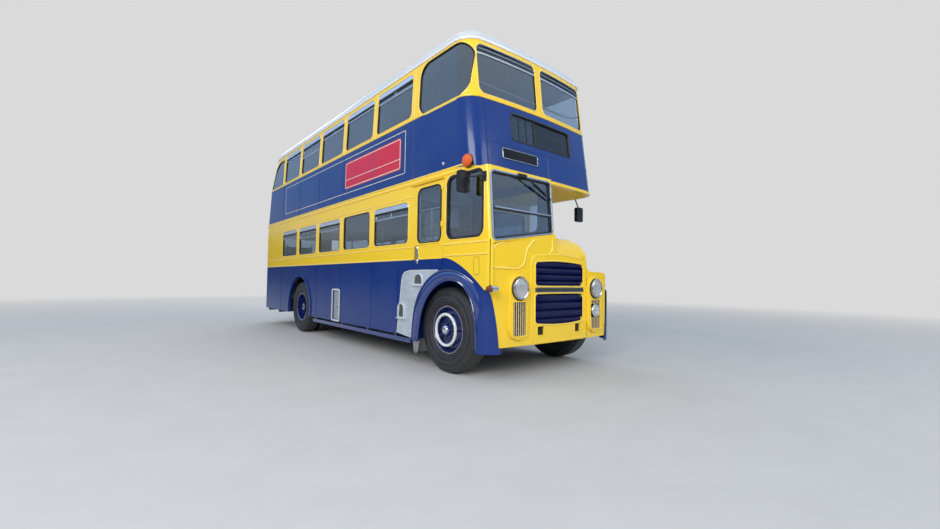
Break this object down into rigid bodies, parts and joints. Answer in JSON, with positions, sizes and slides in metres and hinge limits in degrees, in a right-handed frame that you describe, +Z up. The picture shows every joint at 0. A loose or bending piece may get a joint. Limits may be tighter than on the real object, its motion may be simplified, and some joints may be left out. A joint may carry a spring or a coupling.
{
  "type": "half-cab double decker bus",
  "caption": "Half-cab double decker bus with a front engine, an open rear platform, a driver's side cab, upper saloon, steered front wheels and twin rear wheels.",
  "frame": {"origin": "on the ground, under the centre of the whole bus", "axes": "+Z up, the front faces -Y, the driver's side is at -X and the kerb side at +X"},
  "size_m": [2.855, 8.4599, 4.4061],
  "materials": {
    "body_blue": "gloss dark blue coach paint",
    "body_two_tone": "gloss yellow over dark blue coach paint",
    "body_yellow": "gloss yellow coach paint",
    "roof_white": "gloss white roof paint",
    "bare_alloy": "worn bare sheet",
    "chassis_black": "satin black chassis paint",
    "engine_grey": "painted cast iron",
    "spring_steel": "dark spring steel",
    "exhaust_steel": "scaled mild steel",
    "tyre": "black rubber",
    "wheel_blue": "gloss dark blue with a cream ring",
    "floor_lino": "ribbed dark floor covering",
    "interior_panel": "cream laminate",
    "glass": "clear window glass",
    "lamp_glass": "fluted lamp glass",
    "chrome": "polished chrome",
    "black_trim": "black enamel",
    "seat_moquette": "dark red patterned moquette"
  },
  "bodies": {
    "bus": {"chassis_frame": "chassis_black", "engine_and_gearbox": "engine_grey", "propshaft": "chassis_black", "rear_axle": "chassis_black", "front_axle": "chassis_black", "leaf_springs": "spring_steel", "fuel_tank": "chassis_black", "exhaust": "exhaust_steel", "lower_floor": "floor_lino", "lower_side_offside": "body_two_tone", "lower_side_nearside": "body_two_tone", "bulkheads": "interior_panel", "lower_rear_panel": "body_two_tone", "staircase": "floor_lino", "handrails": "chrome", "front_wings": "body_blue", "step_panel": "bare_alloy", "lifeguard_rails": "body_blue", "cab_shell": "body_two_tone", "front_panel": "body_yellow", "grilles": "body_blue", "lamps": "lamp_glass", "steering_wheel": "black_trim", "upper_floor": "floor_lino", "upper_front": "body_two_tone", "upper_side_offside": "body_two_tone", "upper_side_nearside": "body_two_tone", "upper_rear": "body_two_tone", "roof": "roof_white", "glazing": "glass", "mirrors": "black_trim", "seat_frames": "chrome", "seat_cushions_lower": "seat_moquette", "seat_cushions_upper": "seat_moquette"},
    "knuckle_offside": {"knuckle_offside": "chassis_black"},
    "knuckle_nearside": {"knuckle_nearside": "chassis_black"},
    "track_rod": {"track_rod": "spring_steel"},
    "wheel_front_offside": {"rim_front_offside": "wheel_blue", "tyre_front_offside": "tyre"},
    "wheel_front_nearside": {"rim_front_nearside": "wheel_blue", "tyre_front_nearside": "tyre"},
    "wheels_rear_offside": {"rims_rear_offside": "wheel_blue", "tyres_rear_offside": "tyre"},
    "wheels_rear_nearside": {"rims_rear_nearside": "wheel_blue", "tyres_rear_nearside": "tyre"},
    "cab_door": {"cab_door": "body_two_tone"},
    "bonnet_lid": {"bonnet_lid": "body_yellow"},
    "emergency_door": {"emergency_door": "body_two_tone"}
  },
  "joints": [
    {"name": "steer_offside", "type": "hinge", "parent": "bus", "child": "knuckle_offside", "pos_m": [-0.89, -3.355, 0.53], "axis": [0, 0, 1], "range_deg": [-32, 32]},
    {"name": "steer_nearside", "type": "hinge", "parent": "bus", "child": "knuckle_nearside", "pos_m": [0.89, -3.355, 0.53], "axis": [0, 0, 1], "range_deg": [-32, 32]},
    {"name": "track_rod_swivel", "type": "hinge", "parent": "knuckle_offside", "child": "track_rod", "pos_m": [-0.89, -3.205, 0.372], "axis": [0, 0, 1], "range_deg": [-32, 32]},
    {"name": "roll_front_offside", "type": "hinge", "parent": "knuckle_offside", "child": "wheel_front_offside", "pos_m": [-1.02, -3.355, 0.53], "axis": [1, 0, 0], "continuous": true},
    {"name": "roll_front_nearside", "type": "hinge", "parent": "knuckle_nearside", "child": "wheel_front_nearside", "pos_m": [1.02, -3.355, 0.53], "axis": [1, 0, 0], "continuous": true},
    {"name": "roll_rear_offside", "type": "hinge", "parent": "bus", "child": "wheels_rear_offside", "pos_m": [-0.9, 1.649, 0.53], "axis": [1, 0, 0], "continuous": true},
    {"name": "roll_rear_nearside", "type": "hinge", "parent": "bus", "child": "wheels_rear_nearside", "pos_m": [0.9, 1.649, 0.53], "axis": [1, 0, 0], "continuous": true},
    {"name": "cab_door_hinge", "type": "hinge", "parent": "bus", "child": "cab_door", "pos_m": [-1.2283, -3.355, 1.84], "axis": [0, 0, 1], "range_deg": [0, 80]},
    {"name": "bonnet_hinge", "type": "hinge", "parent": "bus", "child": "bonnet_lid", "pos_m": [-0.06, -3.3, 1.722], "axis": [0, -1, 0], "range_deg": [0, 65]},
    {"name": "emergency_door_hinge", "type": "hinge", "parent": "bus", "child": "emergency_door", "pos_m": [0, 3.9452, 3.9896], "axis": [1, 0, 0], "range_deg": [0, 80]}
  ],
  "couplings": [
    {"joint": "steer_nearside", "follows": "steer_offside", "ratio": 1},
    {"joint": "track_rod_swivel", "follows": "steer_offside", "ratio": -1}
  ]
}
